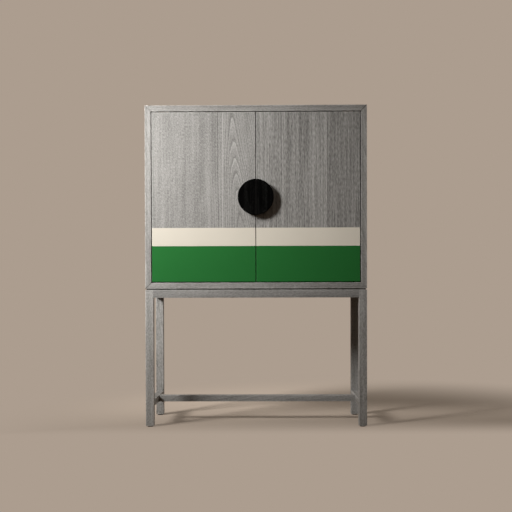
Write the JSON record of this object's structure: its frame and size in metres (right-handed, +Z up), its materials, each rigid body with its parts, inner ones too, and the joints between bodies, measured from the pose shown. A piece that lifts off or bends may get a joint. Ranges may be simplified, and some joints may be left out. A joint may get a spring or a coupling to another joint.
{
  "type": "bar cabinet with fold out shelf",
  "caption": "Grey oak bar cabinet on an open stand, with hinged doors banded in cream and green, a split round black handle and a fold out shelf behind a door.",
  "frame": {"origin": "on the floor, under the middle of the whole part's box", "axes": "+X to the right seen from the front, +Y from the front to the back, +Z up"},
  "size_m": [1, 0.43, 1.45],
  "materials": {
    "stand_oak": "solid oak, grey stain, matt oil",
    "carcase_oak": "oak, grey stain, matt oil",
    "door_veneer": "oak veneer, grey stain, matt lacquer",
    "cream_lacquer": "board with satin cream lacquer",
    "green_lacquer": "board with satin green lacquer",
    "handle_oak": "oak, black stain, matt",
    "blackened_strip": "black-stained hardwood",
    "black_metal": "black powder coat",
    "brass": "brushed",
    "steel": "zinc plated",
    "nickel": "nickel plated magnet",
    "black_plastic": "moulded nylon"
  },
  "bodies": {
    "cabinet": {"front_left_leg": "stand_oak", "front_right_leg": "stand_oak", "rear_left_leg": "stand_oak", "rear_right_leg": "stand_oak", "front_top_rail": "stand_oak", "rear_top_rail": "stand_oak", "left_top_rail": "stand_oak", "right_top_rail": "stand_oak", "left_stretcher": "stand_oak", "right_stretcher": "stand_oak", "cross_stretcher": "stand_oak", "foot_glides": "black_plastic", "shadow_gap_strips": "blackened_strip", "stand_screws": "steel", "top_panel": "carcase_oak", "bottom_panel": "carcase_oak", "left_side_panel": "carcase_oak", "right_side_panel": "carcase_oak", "back_panel": "carcase_oak", "fixed_shelf": "carcase_oak", "mitre_splines": "carcase_oak", "door_catches": "black_plastic", "pivot_washers": "black_plastic", "pivot_plate_screws": "brass", "left_upper_pivot_plate": "brass", "left_lower_pivot_plate": "brass", "right_upper_pivot_plate": "brass", "right_lower_pivot_plate": "brass"},
    "left_door": {"left_door_core": "carcase_oak", "left_door_veneer": "door_veneer", "left_cream_band": "cream_lacquer", "left_green_band": "green_lacquer", "left_handle_half": "handle_oak", "left_handle_spacers": "black_metal", "left_handle_screws": "steel", "left_hinge_screws": "brass", "left_upper_hinge_plate": "brass", "left_lower_hinge_plate": "brass", "left_strike_plate": "steel"},
    "right_door": {"right_door_core": "carcase_oak", "right_door_veneer": "door_veneer", "right_cream_band": "cream_lacquer", "right_green_band": "green_lacquer", "right_handle_half": "handle_oak", "right_handle_spacers": "black_metal", "right_handle_screws": "steel", "right_hinge_screws": "brass", "right_upper_hinge_plate": "brass", "right_lower_hinge_plate": "brass", "right_strike_plate": "steel", "shelf_stop_rail": "carcase_oak", "shelf_inner_bracket": "black_metal", "shelf_outer_bracket": "black_metal", "shelf_support_screws": "steel", "shelf_pivot_pins": "steel", "shelf_catch_magnets": "nickel"},
    "folding_shelf": {"fold_out_shelf": "carcase_oak", "shelf_bushes": "black_plastic", "shelf_catch_plates": "steel"}
  },
  "joints": [
    {"name": "left_door_swing", "type": "hinge", "parent": "cabinet", "child": "left_door", "pos_m": [-0.443, -0.174, 1.0375], "axis": [0, 0, -1], "range_deg": [0, 110]},
    {"name": "right_door_swing", "type": "hinge", "parent": "cabinet", "child": "right_door", "pos_m": [0.443, -0.174, 1.0375], "axis": [0, 0, 1], "range_deg": [0, 110]},
    {"name": "shelf_fold", "type": "hinge", "parent": "right_door", "child": "folding_shelf", "pos_m": [0.26787, -0.133, 1.07395], "axis": [-1, 0, 0], "range_deg": [0, 90]}
  ]
}
